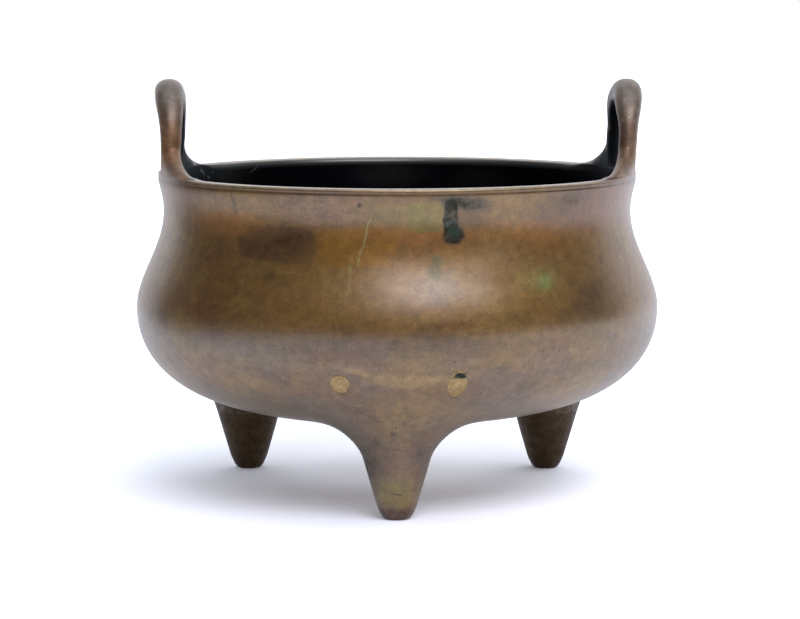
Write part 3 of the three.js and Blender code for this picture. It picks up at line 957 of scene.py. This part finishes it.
def stained(tree, place, colour, stains):
    """Lays every stain of a list over a colour, each one broken up by a fine noise."""
    ragged = ragged_place(tree, place)
    grain = add_node(tree, "TexNoise", {"Vector": place, "Scale": 1 / STAIN_GRAIN, "Detail": 3})
    low, high = BREAK_LEVELS
    broken = add_node(
        tree, "MapRange",
        {"Value": grain, "From Min": low, "From Max": high, "To Min": BREAK_LEAST},
    )
    for stain in stains:
        local = add_node(
            tree, "Mapping",
            {
                "Vector": ragged, "Location": Vector(stain.at) * MM,
                "Rotation": (0, math.radians(stain.turn), 0), "Scale": Vector(stain.half) * MM,
            },
            vector_type="TEXTURE",
        )
        if stain.boxy:
            local = add_node(tree, "VectorMath", {0: local, 1: local}, operation="MULTIPLY")
        far = add_node(tree, "VectorMath", {0: local}, operation="LENGTH")
        strength = add_node(tree, "Math", {0: broken, 1: stain.strength}, operation="MULTIPLY")
        outline = (far, 1 + stain.edge, 1 - stain.edge)
        colour = laid(tree, colour, stain.colour, strength, outline)
    return colour


def grained(tree, place, colour):
    """Breaks a colour up finely, as the grain of the casting does under a patina."""
    low, high = GRAIN_LEVELS
    for grain, amount in CASTING_GRAINS:
        noise = add_node(tree, "TexNoise", {"Vector": place, "Scale": 1 / grain, "Detail": 3})
        level = add_node(
            tree, "MapRange",
            {
                "Value": noise, "From Min": low, "From Max": high,
                "To Min": 1 - amount, "To Max": 1 + amount,
            },
        )
        colour = add_node(tree, "VectorMath", {0: colour, "Scale": level}, operation="SCALE")
    return colour


def cast_bump(tree, place):
    """The slight unevenness of a hand-finished casting, with fine pits."""
    normal = None
    for grain, detail, strength, height in CASTING_BUMPS:
        noise = add_node(tree, "TexNoise", {"Vector": place, "Scale": 1 / grain, "Detail": detail})
        inputs = {"Height": noise, "Strength": strength, "Distance": height}
        if normal:
            inputs["Normal"] = normal
        normal = add_node(tree, "Bump", inputs)
    return normal


def finish_bronze(
    tree, place, colour, metallic=0.75, roughness=0.52, coat=1.0, coat_roughness=0.3
):
    """Old bronze under its skin of oxide and wax, whose darkest marks are dull."""
    light = add_node(tree, "RGBToBW", {0: colour})
    normal = cast_bump(tree, place)
    return add_node(
        tree, "BsdfPrincipled",
        {
            "Base Color": colour, "Metallic": metallic, "Roughness": roughness,
            "Normal": normal, "Coat Normal": normal,
            "Coat Weight": soft_mask(tree, coat, (light, *DULL_LIGHT)),
            "Coat Roughness": coat_roughness, "Coat IOR": 1.75,
        },
    )


def brown_patinated_bronze(tree, place):
    """The bowl and the front foot: cast bronze, burnished and brown with age."""
    # Leaded bronze, cast, turned, burnished, chemically coloured and then rubbed for long.
    # The eye sees a rough brown metal under a thin glassy skin, clouded with gold and red
    split = add_node(tree, "SeparateXYZ", {0: place}).outputs
    height = split["Z"]
    colour = laid(tree, shade("belly_brown"), "brown", 1.0, (height, *SHOULDER_START))
    colour = laid(tree, colour, "neck_brown", 1.0, (height, *NECK_START))
    colour = clouded(tree, place, colour, BROWN_CLOUDS)
    colour = stained(tree, place, clouded(tree, place, colour, SPECKS, 0.5), STAINS)
    # A dark line in the groove: painted shade under the lip, with some grime
    middle = GROOVE_BOTTOM + GROOVE_HEIGHT / 2
    colour = laid(
        tree, colour, "grime_and_shade", 0.35,
        (height, middle - GROOVE_HEIGHT, middle - GROOVE_HEIGHT / 4),
        (height, middle + GROOVE_HEIGHT, middle + GROOVE_HEIGHT / 4),
    )
    # The lip is painted pale away from the handles: partly rubbed metal, partly a painted
    # highlight of the softbox on its outer rounding
    sideways = add_node(tree, "Math", {0: split["Y"]}, operation="ABSOLUTE")
    colour = laid(
        tree, colour, "worn_and_sheen", 0.6,
        (height, middle + GROOVE_HEIGHT / 2, BOWL_HIGH.z - LIP_DROP * 2), (sideways, *LIP_WEAR_AND_SHEEN),
    )
    return finish_bronze(tree, place, grained(tree, place, colour))


def handled_bronze(tree, place):
    """The handles: red-brown from being held, and black inside their loops, partly soot and partly
    painted shade.
    """
    # The same casting, held by its handles: the grip keeps a duller, redder skin. Inside the loops
    # and on the far strands' axis side, slate is soot and painted shade, so the eye reads the
    # loops as dark holes
    height = add_node(tree, "SeparateXYZ", {0: place}).outputs["Z"]
    colour = laid(tree, shade("neck_brown"), "handle_russet", 1.0, (height, *GRIP_START))
    # Greyer upper handles: partly their own colour, partly a painted reflection of the overhead
    # light
    colour = laid(tree, colour, "handle_brown", 1.0, (height, *CROWN_START))
    colour = clouded(tree, place, colour, HANDLE_CLOUDS)
    colour = stained(tree, place, clouded(tree, place, colour, SPECKS, 0.3), HANDLE_STAINS)
    colour = grained(tree, place, colour)

    straight = add_node(
        tree, "Mapping",
        {"Vector": ragged_place(tree, place), "Rotation": (0, 0, -math.radians(HANDLE_TURN))},
    )
    split = add_node(tree, "SeparateXYZ", {0: straight}).outputs
    arch_start = BOWL_HIGH.z + FLARE_HEIGHT
    arch_height = HANDLE_HIGH.z - CROWN_THICKNESS - arch_start
    over = add_node(tree, "Math", {0: split["Z"], 1: arch_start}, operation="SUBTRACT")
    rise = add_node(tree, "Math", {0: over, 1: 0}, operation="MAXIMUM")
    in_loop = add_node(tree, "CombineXYZ", {1: split["Y"], 2: rise})
    shares = add_node(
        tree, "VectorMath",
        {0: in_loop, 1: (0, 1 / STRAND_INNER_EDGE, 1 / arch_height)}, operation="MULTIPLY",
    )
    far = add_node(tree, "VectorMath", {0: shares}, operation="LENGTH")
    # Slate in the opening of each loop: soot and painted shade
    colour = laid(tree, colour, "slate", 0.97, (far, *LOOP_DARK))
    flat = add_node(tree, "VectorMath", {0: straight, 1: (1, 1, 0)}, operation="MULTIPLY")
    radius = add_node(tree, "VectorMath", {0: flat}, operation="LENGTH")
    # Slate on the far strand's side that faces the bowl's axis: soot and painted shade
    colour = laid(
        tree, colour, "slate", 0.95,
        (radius, *INNER_DARK_DEPTH), (height, *INNER_DARK_TOP), (split["Y"], *INNER_DARK_SIDE),
    )
    foot_gloss = soft_mask(tree, 1.0, (height, *HANDLE_FOOT_GLOSS))
    crown_gloss = soft_mask(tree, 0.6, (height, *CROWN_GLOSS))
    gloss = add_node(tree, "Math", {0: foot_gloss, 1: crown_gloss}, operation="ADD")
    coat = add_node(tree, "Math", {0: gloss, 1: GRIP_GLOSS}, operation="MAXIMUM")
    return finish_bronze(
        tree, place, colour, metallic=0.72, roughness=0.58, coat=coat, coat_roughness=0.36
    )


def shaded_foot_bronze(tree, place):
    """The rear feet: a darker copy of the bronze, painted shade for the feet that stand in the
    bowl's shadow.
    """
    # Painted shade: nearly black with brown clouds, standing for the bowl's shadow and the shaded
    # paper that the rear feet reflect
    colour = clouded(tree, place, shade("black_brown"), SHADED_FOOT_CLOUDS)
    return finish_bronze(tree, place, grained(tree, place, colour))


def sooty_bronze(tree, place):
    """The unpolished inside of the bowl."""
    # Bare cast bronze under soot, which swallows the light, with a band of old ash under
    # the lip and a few scratches in it
    split = add_node(tree, "SeparateXYZ", {0: place}).outputs
    across = add_node(tree, "Math", {0: split["X"]}, operation="ABSOLUTE")
    colour = clouded(tree, place, shade("soot"), SOOT_CLOUDS)
    colour = laid(tree, colour, "ash_and_sheen", 0.6, (split["Z"], *ASH_BAND), (across, *ASH_BAND_ENDS))
    colour = stained(tree, place, colour, INSIDE_STAINS)
    return finish_bronze(tree, place, colour, metallic=0.9, roughness=0.5)


def pale_brass(tree, place):
    """The spacers that held the core, of a paler metal than the bowl."""
    # Cut brass, cast in and filed flush with the wall: dull yellow, tarnished and pitted
    colour = clouded(tree, place, shade("brass"), BRASS_CLOUDS)
    colour = stained(tree, place, clouded(tree, place, colour, SPECKS, 0.5), SPACER_STAINS)
    return finish_bronze(
        tree, place, grained(tree, place, colour),
        roughness=0.45, coat=0.7, coat_roughness=0.25,
    )


def dress(piece, *makers):
    """Gives a piece its materials. Each is named for its maker, made once and then shared."""
    for maker in makers:
        material = bpy.data.materials.get(maker.__name__)
        if not material:
            material = bpy.data.materials.new(maker.__name__)
            tree = empty_tree(material)
            place = add_node(tree, "TexCoord").outputs["Object"]
            add_node(tree, "OutputMaterial", {"Surface": maker(tree, place)})
        piece.data.materials.append(material)


class CenserShape(bpy.types.PropertyGroup):
    """Sizes of the censer that can be changed without a new frame."""

    wall: FloatProperty(
        name="Wall", description="Thickness of the bowl's wall",
        default=5 * MM, min=2 * MM, max=7 * MM, unit="LENGTH",
    )
    left_strand_depth: FloatProperty(
        name="Left strand depth", description="How deep the left handle's bar is",
        default=9.6 * MM, min=6 * MM, max=12 * MM, unit="LENGTH",
    )
    right_strand_depth: FloatProperty(
        name="Right strand depth", description="How deep the right handle's bar is",
        default=8.3 * MM, min=6 * MM, max=12 * MM, unit="LENGTH",
    )


def colour_property(name, description, hex_colour):
    """A colour of the panel, whose default is written as sRGB hex."""
    return FloatVectorProperty(
        name=name, description=description, subtype="COLOR", size=4, default=linear(hex_colour)
    )


class BronzeColours(bpy.types.PropertyGroup):
    """Colours of the metal, its patina and the soot."""

    brown: colour_property("Brown", "Patina of the shoulder", 0x946A2A)
    belly_brown: colour_property("Belly brown", "Patina of the lower wall and the feet", 0x8E745C)
    neck_brown: colour_property("Neck brown", "Patina of the neck, rim and handles", 0x96724E)
    mauve: colour_property("Mauve", "Greyish field under the green-black stain", 0x9C8C7A)
    worn_and_sheen: colour_property("Worn", "Lip that is rubbed bare", 0xCFC0A0)
    gold: colour_property("Gold", "Metal that shows where the patina is thin", 0xA88444)
    russet: colour_property("Russet", "Red-brown clouds", 0x8A5632)
    dark_russet: colour_property("Dark russet", "Dark red-brown stains", 0x5A3820)
    umber: colour_property("Umber", "Dark brown clouds and marks", 0x4C3A22)
    amber: colour_property("Amber", "Orange-brown glow on the shoulder", 0xB87C3C)
    ochre: colour_property("Ochre", "Yellow-brown field beside the dark stain", 0xA87828)
    olive: colour_property("Olive", "Yellow-green patina", 0x968440)
    tan: colour_property("Tan", "Worn patches", 0xB4946A)
    verdigris_black: colour_property("Green-black", "Old corrosion", 0x30352A)
    teal: colour_property("Teal", "Corrosion that has turned blue-green", 0x35564A)
    grey_green: colour_property("Grey-green", "Thin bloom of corrosion", 0x6E6A44)
    leaf_green: colour_property("Leaf green", "Bright bloom of corrosion", 0x97A25C)
    pale_green: colour_property("Pale green", "Scratch that has turned green", 0xB8AE70)
    grime_and_shade: colour_property("Grime", "Dark line in the groove under the lip", 0x4A3B1E)
    handle_russet: colour_property("Handle russet", "Lower part of the handles", 0x9A7C66)
    handle_brown: colour_property("Handle brown", "Upper part of the handles", 0x94867A)
    # Colour of the painted shade on the rear feet and their roots
    black_brown: colour_property("Black-brown", "Rear feet", 0x4A3414)
    ash_and_sheen: colour_property("Ash", "Scratches in the soot", 0x84857F)
    soot: colour_property("Soot", "Inside of the bowl", 0x10141A)
    slate: colour_property("Slate", "Greenish clouds in the soot", 0x222C32)
    brass: colour_property("Brass", "Spacers in the wall", 0xC4A468)
    dull_brass: colour_property("Dull brass", "Tarnish on the spacers", 0xA48448)


class StudioSettings(bpy.types.PropertyGroup):
    """The camera's place and the light."""

    camera_place: FloatVectorProperty(
        name="Camera", description="Where the camera stands",
        default=(1.33 * MM, -1199.47 * MM, 228.7 * MM), subtype="TRANSLATION",
    )
    camera_pitch: FloatProperty(
        name="Pitch", description="How far the camera looks down",
        default=0.1223, subtype="ANGLE",
    )
    lens: FloatProperty(
        name="Lens", description="Focal length on a 36 mm wide sensor, in millimetres",
        default=117.65, min=20, max=300,
    )
    softbox: FloatProperty(
        name="Softbox", description="Power of the lamp over the front right, in watts",
        default=13, min=0, max=200,
    )


class CENSER_OT_bowl(bpy.types.Operator):
    """Build the bowl with its rim and the roots of its feet"""

    bl_idname = "censer.bowl"
    bl_label = "Bowl"

    def execute(self, context):
        bowl = build_bowl(context.scene.censer_shape.wall)
        dress(bowl, brown_patinated_bronze, sooty_bronze)
        return {"FINISHED"}


class CENSER_OT_handles(bpy.types.Operator):
    """Build the two loop handles on the rim"""

    bl_idname = "censer.handles"
    bl_label = "Handles"

    def execute(self, context):
        shape = context.scene.censer_shape
        for name, side, depth in (
            ("right_handle", 0, shape.right_strand_depth),
            ("left_handle", 180, shape.left_strand_depth),
        ):
            dress(build_handle(name, side + HANDLE_TURN, depth), handled_bronze)
        return {"FINISHED"}


class CENSER_OT_feet(bpy.types.Operator):
    """Build the three conical feet"""

    bl_idname = "censer.feet"
    bl_label = "Feet"

    def execute(self, context):
        for name in FOOT_NAMES:
            out_of_shade = name == "front_foot"
            # The front foot keeps the bronze; the rear feet, in the bowl's shadow, get its
            # painted-shade copy
            dress(build_foot(name), brown_patinated_bronze if out_of_shade else shaded_foot_bronze)
        return {"FINISHED"}


class CENSER_OT_spacers(bpy.types.Operator):
    """Build the two spacers that show in the lower wall"""

    bl_idname = "censer.spacers"
    bl_label = "Spacers"

    def execute(self, context):
        for spacer in SPACERS:
            dress(build_spacer(*spacer), pale_brass)
        return {"FINISHED"}


def white_paper(tree, place):
    """The studio's paper: matt white, lifted to white where the camera or a gloss sees it,
    and more so far from the object, where the lamp is weak."""
    # Matt coated paper on a roll: it takes the soft shadow and gives the metal a white below
    path = add_node(tree, "LightPath").outputs
    seen = add_node(
        tree, "Math", {0: path["Is Camera Ray"], 1: path["Is Glossy Ray"]}, operation="MAXIMUM"
    )
    far = add_node(tree, "VectorMath", {0: place}, operation="LENGTH")
    start, end = FLOOR_FAR
    outside = add_node(
        tree, "MapRange",
        {
            "Value": far, "From Min": start, "From Max": end,
            "To Min": FLOOR_LIFT, "To Max": FLOOR_RISE,
        },
        interpolation_type="SMOOTHSTEP",
    )
    off_middle = add_node(tree, "VectorMath", {0: place, 1: BOUNCE_PLACE}, operation="DISTANCE")
    under = soft_mask(tree, FLOOR_BOUNCE, (off_middle, *BOUNCE_REACH))
    lift = add_node(tree, "Math", {0: outside, 1: under}, operation="ADD")
    strength = add_node(tree, "Math", {0: lift, 1: seen}, operation="MULTIPLY")
    gain = add_node(
        tree, "MapRange", {"Value": path["Is Camera Ray"], "To Min": 1, "To Max": FLOOR_GAIN}
    )
    colour = add_node(tree, "VectorMath", {0: linear(PAPER)[:3], "Scale": gain}, operation="SCALE")
    paper = add_node(tree, "BsdfDiffuse", {"Color": colour})
    glow = add_node(tree, "Emission", {"Color": linear(PAPER_GLOW), "Strength": strength})
    return add_node(tree, "AddShader", {0: paper, 1: glow})


def brightened(tree, level, value, low, share):
    """Takes a share from a level of light where a value is low, and adds it where it is 1."""
    change = add_node(
        tree, "MapRange",
        {"Value": value, "From Min": low, "To Min": 1 - share, "To Max": 1 + share},
    )
    return add_node(tree, "Math", {0: level, 1: change}, operation="MULTIPLY")


def studio_world():
    """White round the object for the camera and in every gloss, except the unlit side of the
    studio behind the camera, which a gloss shows dark. It lights all sides nearly alike."""
    world = bpy.data.worlds.new("studio")
    world.cycles.sampling_method = "NONE"
    tree = empty_tree(world)
    path = add_node(tree, "LightPath").outputs
    direction = add_node(tree, "TexCoord").outputs["Generated"]
    split = add_node(tree, "SeparateXYZ", {0: direction}).outputs
    front = (math.sin(UNLIT_TURN), -math.cos(UNLIT_TURN), 0)
    facing, aimed = (
        add_node(tree, "VectorMath", {0: direction, 1: aim}, operation="DOT_PRODUCT")
        for aim in (front, HIGH_AIM)
    )
    unlit = add_node(
        tree, "MapRange",
        {
            "Value": facing,
            "From Min": math.cos(UNLIT_HALF_ANGLE + UNLIT_EDGE),
            "From Max": math.cos(UNLIT_HALF_ANGLE - UNLIT_EDGE),
            "To Min": 1.0, "To Max": UNLIT_LEVEL,
        },
    )
    light = add_node(
        tree, "MapRange",
        {
            "Value": unlit, "From Min": UNLIT_LEVEL, "From Max": 1.0,
            "To Min": FRONT_LIGHT, "To Max": BACK_LIGHT,
        },
    )
    light = brightened(tree, light, split["X"], -1.0, RIGHT_LIGHT)
    light = brightened(tree, light, aimed, 0.0, HIGH_LIGHT)
    gloss = brightened(tree, unlit, split["X"], -1.0, RIGHT_GLOSS)
    ceiling = soft_mask(tree, CEILING_LEVEL, (split["Z"], *CEILING))
    gloss = add_node(tree, "Math", {0: gloss, 1: ceiling}, operation="MAXIMUM")
    unseen = add_node(
        tree, "Mix", {0: path["Is Glossy Ray"], 2: light, 3: gloss}, data_type="FLOAT"
    )
    seen = add_node(
        tree, "Math", {0: path["Is Camera Ray"], 1: path["Is Transmission Ray"]},
        operation="MAXIMUM",
    )
    strength = add_node(tree, "Mix", {0: seen, 2: unseen, 3: 1.0}, data_type="FLOAT")
    tint = add_node(
        tree, "Mix",
        {0: path["Is Glossy Ray"], 6: linear(WHITE), 7: linear(GLOSS_WHITE)}, data_type="RGBA",
    )
    sky = add_node(tree, "Background", {"Color": tint, "Strength": strength})
    add_node(tree, "OutputWorld", {"Surface": sky})
    return world


class CENSER_OT_stage(bpy.types.Operator):
    """Build the paper floor, the light and the camera"""

    bl_idname = "censer.stage"
    bl_label = "Stage"

    def execute(self, context):
        scene = context.scene
        studio = scene.censer_studio
        bm = bmesh.new()
        bmesh.ops.create_circle(bm, cap_ends=True, segments=FLOOR_SEGMENTS, radius=FLOOR_RADIUS)
        for edge, inwards in (((0, FLOOR_FRONT, 0), (0, 1, 0)), ((FLOOR_LEFT, 0, 0), (1, 0, 0))):
            bmesh.ops.bisect_plane(
                bm, geom=[*bm.verts, *bm.edges, *bm.faces], plane_co=edge, plane_no=inwards,
                clear_inner=True,
            )
        floor = add_mesh("paper_floor", bm)
        dress(floor, white_paper)

        scene.world = studio_world()
        light = bpy.data.lights.new("softbox", "AREA")
        light.shape = "RECTANGLE"
        light.size, light.size_y = SOFTBOX_SIZE
        light.energy = studio.softbox
        light.color = linear(SOFTBOX_COLOUR)[:3]
        lamp = add_object("softbox", light)
        lamp.location = SOFTBOX_PLACE
        aim = Vector(SOFTBOX_AIM) - lamp.location
        lamp.rotation_euler = aim.to_track_quat("-Z", "Y").to_euler()

        camera = bpy.data.cameras.new("camera")
        camera.lens = studio.lens
        camera.sensor_width = SENSOR_WIDTH
        camera.clip_start, camera.clip_end = CAMERA_CLIP
        holder = add_object("camera", camera)
        holder.location = studio.camera_place
        holder.rotation_euler = (math.pi / 2 - studio.camera_pitch, 0, 0)
        scene.camera = holder
        scene.view_settings.view_transform = "Standard"
        return {"FINISHED"}


class CENSER_PT_panel(bpy.types.Panel):
    """Lists the pieces of the censer and its sizes"""

    bl_idname = "CENSER_PT_panel"
    bl_label = "Tripod Censer"
    bl_space_type = "VIEW_3D"
    bl_region_type = "UI"
    bl_category = "Censer"

    def draw(self, context):
        layout = self.layout
        scene = context.scene
        for group in (scene.censer_shape, scene.censer_colours, scene.censer_studio):
            for name in group.__annotations__:
                layout.prop(group, name)
        for operator in OPERATORS:
            layout.operator(operator.bl_idname)


OPERATORS = (
    CENSER_OT_bowl, CENSER_OT_handles, CENSER_OT_feet, CENSER_OT_spacers, CENSER_OT_stage,
)
CLASSES = (CenserShape, BronzeColours, StudioSettings, *OPERATORS, CENSER_PT_panel)


def register():
    for cls in CLASSES:
        bpy.utils.register_class(cls)
    bpy.types.Scene.censer_shape = PointerProperty(type=CenserShape)
    bpy.types.Scene.censer_colours = PointerProperty(type=BronzeColours)
    bpy.types.Scene.censer_studio = PointerProperty(type=StudioSettings)


def unregister():
    del bpy.types.Scene.censer_studio
    del bpy.types.Scene.censer_colours
    del bpy.types.Scene.censer_shape
    for cls in reversed(CLASSES):
        bpy.utils.unregister_class(cls)


def main():
    register()
    bpy.ops.censer.bowl()
    bpy.ops.censer.handles()
    bpy.ops.censer.feet()
    bpy.ops.censer.spacers()
    bpy.ops.censer.stage()


if __name__ == "__main__":
    main()
